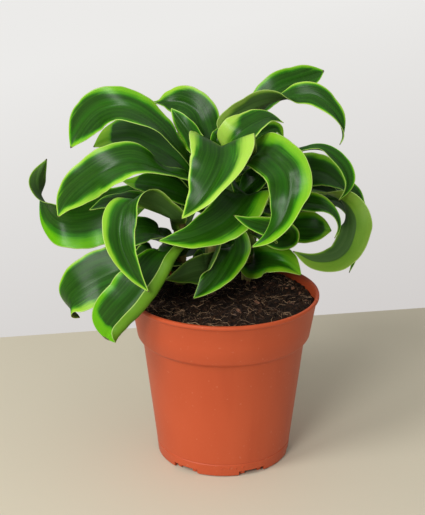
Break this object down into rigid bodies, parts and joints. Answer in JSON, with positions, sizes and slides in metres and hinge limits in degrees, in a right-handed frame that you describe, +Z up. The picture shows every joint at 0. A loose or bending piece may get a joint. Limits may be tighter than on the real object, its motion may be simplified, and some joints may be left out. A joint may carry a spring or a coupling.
{
  "type": "potted dracaena",
  "caption": "Leafy dracaena with twisted, lime-edged leaves on short canes, planted in soil in a plain round nursery pot that stands on its own foot.",
  "frame": {"origin": "middle of the pot's underside, on the ground", "axes": "+Z up along the pot's axis, +X to the right and +Y to the back as seen from the front"},
  "size_m": [0.2319, 0.188, 0.2553],
  "materials": {
    "pot_plastic": "satin",
    "peat": "matte",
    "cane_bark": "matte",
    "leaf_blade": "satin"
  },
  "bodies": {
    "root": {"cane_centre": "cane_bark", "cane_left": "cane_bark", "cane_right": "cane_bark", "leaf_behind_arc": "leaf_blade", "leaf_behind_folded": "leaf_blade", "leaf_behind_saddle": "leaf_blade", "leaf_centre_back": "leaf_blade", "leaf_centre_back_left": "leaf_blade", "leaf_centre_back_right": "leaf_blade", "leaf_centre_low_back": "leaf_blade", "leaf_crown_spout": "leaf_blade", "leaf_front_left_hanging": "leaf_blade", "leaf_front_saddle": "leaf_blade", "leaf_left_back": "leaf_blade", "leaf_left_back_low": "leaf_blade", "leaf_left_broad": "leaf_blade", "leaf_left_curled_end": "leaf_blade", "leaf_left_low_olive": "leaf_blade", "leaf_left_rear": "leaf_blade", "leaf_left_shadow": "leaf_blade", "leaf_low_saddle": "leaf_blade", "leaf_lower_left_tucked": "leaf_blade", "leaf_over_soil": "leaf_blade", "leaf_returning_tip": "leaf_blade", "leaf_right_arc": "leaf_blade", "leaf_right_back": "leaf_blade", "leaf_right_back_low": "leaf_blade", "leaf_right_back_right": "leaf_blade", "leaf_right_far": "leaf_blade", "leaf_right_hook": "leaf_blade", "leaf_right_low": "leaf_blade", "leaf_right_narrow": "leaf_blade", "leaf_right_round": "leaf_blade", "leaf_right_sweep": "leaf_blade", "leaf_rim_folded": "leaf_blade", "leaf_small_dark": "leaf_blade", "leaf_soil_right": "leaf_blade", "leaf_top_broad": "leaf_blade", "leaf_top_inner": "leaf_blade", "leaf_top_left_arch": "leaf_blade", "leaf_topmost": "leaf_blade", "leaf_under_arch": "leaf_blade", "leaf_under_broad": "leaf_blade", "leaf_upper_right_twist": "leaf_blade", "pot": "pot_plastic", "soil": "peat"}
  },
  "joints": []
}
